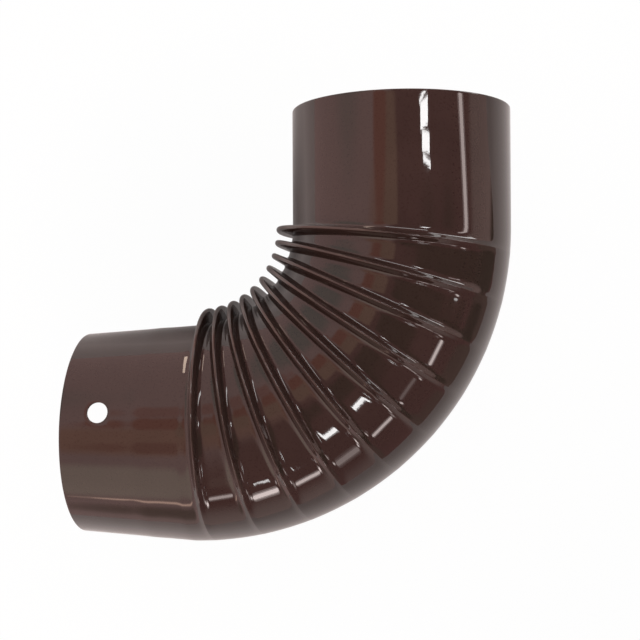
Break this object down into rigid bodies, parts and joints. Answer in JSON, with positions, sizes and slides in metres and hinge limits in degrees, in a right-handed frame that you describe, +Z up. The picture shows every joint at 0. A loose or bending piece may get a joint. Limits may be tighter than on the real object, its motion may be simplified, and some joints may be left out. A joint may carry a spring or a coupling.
{
  "type": "stove pipe elbow",
  "caption": "Pleated right-angle stove pipe elbow of dark brown enamelled sheet steel, with a plain socket at one end, a tapered spigot at the other and a small hanging hole.",
  "frame": {"origin": "on the floor, under the centre of the box round the elbow as it lies on its side", "axes": "+Y out of the socket along its axis, -X out of the spigot along its axis, +Z up, square to the bend"},
  "size_m": [0.2364, 0.2374, 0.1286],
  "materials": {
    "enamel": "high-gloss dark brown vitreous enamel on sheet steel, inside and out"
  },
  "bodies": {
    "root": {"pleated_elbow": "enamel"}
  },
  "joints": []
}
